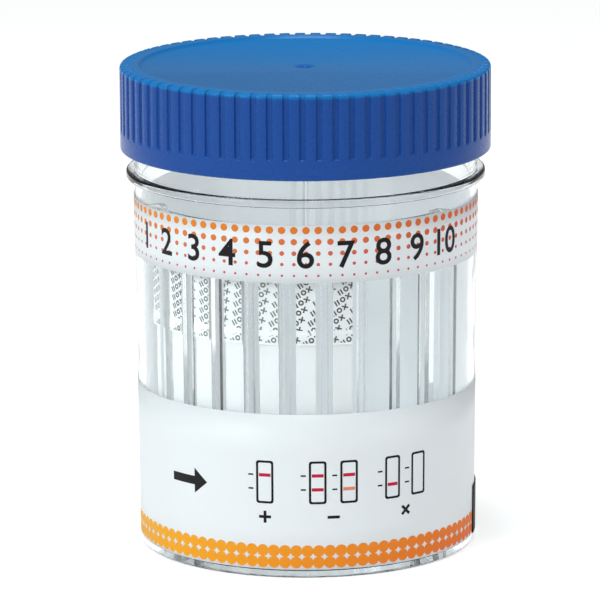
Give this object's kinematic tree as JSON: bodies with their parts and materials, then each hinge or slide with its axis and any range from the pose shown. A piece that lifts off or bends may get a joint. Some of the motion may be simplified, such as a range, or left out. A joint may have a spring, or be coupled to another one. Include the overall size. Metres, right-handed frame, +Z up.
{
  "type": "multi-panel rapid test cup",
  "caption": "Clear specimen cup with a blue screw lid, a wraparound label with a window, and lateral-flow test strips in a carrier behind its wall.",
  "frame": {"origin": "centre of the cup's foot, on the surface that it stands on", "axes": "+Z up the cup's axis; -Y faces the front, where the label's window and result key are; +X to the right seen from the front"},
  "size_m": [0.0694, 0.0694, 0.0913],
  "materials": {
    "clear_plastic": "clear polystyrene, polished mould",
    "carrier_clear": "clear polystyrene, polished mould",
    "blue_plastic": "blue polypropylene, satin gloss",
    "liner_foam": "white foamed polyethylene",
    "label_film": "white polypropylene film printed in orange, red and black",
    "thermometer_film": "black liquid-crystal film, glossy",
    "backing_card": "white card",
    "fibre_pad": "pressed cellulose fibre",
    "conjugate_pad": "glass fibre with dried gold conjugate",
    "membrane": "nitrocellulose membrane",
    "printed_tape": "white tape with a fine grey print"
  },
  "bodies": {
    "cup": {"cup": "clear_plastic", "strip_carrier": "carrier_clear", "label": "label_film", "thermometer_strip": "thermometer_film", "strip_1_backing_card": "backing_card", "strip_1_sample_pad": "fibre_pad", "strip_1_conjugate_pad": "conjugate_pad", "strip_1_membrane": "membrane", "strip_1_absorbent_pad": "fibre_pad", "strip_1_cover_tape": "printed_tape", "strip_2_backing_card": "backing_card", "strip_2_sample_pad": "fibre_pad", "strip_2_conjugate_pad": "conjugate_pad", "strip_2_membrane": "membrane", "strip_2_absorbent_pad": "fibre_pad", "strip_2_cover_tape": "printed_tape", "strip_3_backing_card": "backing_card", "strip_3_sample_pad": "fibre_pad", "strip_3_conjugate_pad": "conjugate_pad", "strip_3_membrane": "membrane", "strip_3_absorbent_pad": "fibre_pad", "strip_3_cover_tape": "printed_tape", "strip_4_backing_card": "backing_card", "strip_4_sample_pad": "fibre_pad", "strip_4_conjugate_pad": "conjugate_pad", "strip_4_membrane": "membrane", "strip_4_absorbent_pad": "fibre_pad", "strip_4_cover_tape": "printed_tape", "strip_5_backing_card": "backing_card", "strip_5_sample_pad": "fibre_pad", "strip_5_conjugate_pad": "conjugate_pad", "strip_5_membrane": "membrane", "strip_5_absorbent_pad": "fibre_pad", "strip_5_cover_tape": "printed_tape", "strip_6_backing_card": "backing_card", "strip_6_sample_pad": "fibre_pad", "strip_6_conjugate_pad": "conjugate_pad", "strip_6_membrane": "membrane", "strip_6_absorbent_pad": "fibre_pad", "strip_6_cover_tape": "printed_tape", "strip_7_backing_card": "backing_card", "strip_7_sample_pad": "fibre_pad", "strip_7_conjugate_pad": "conjugate_pad", "strip_7_membrane": "membrane", "strip_7_absorbent_pad": "fibre_pad", "strip_7_cover_tape": "printed_tape"},
    "liner": {"lid_seal": "liner_foam"},
    "lid": {"lid": "blue_plastic"}
  },
  "joints": [
    {"name": "lid_rise", "type": "slide", "parent": "cup", "child": "liner", "axis": [0, 0, 1], "range_m": [0, 0.0051]},
    {"name": "lid_turn", "type": "hinge", "parent": "liner", "child": "lid", "pos_m": [0, 0, 0.0886], "axis": [0, 0, 1], "range_deg": [0, 432]}
  ],
  "couplings": [
    {"joint": "lid_rise", "follows": "lid_turn", "m_per_rad": 0.00066845}
  ]
}
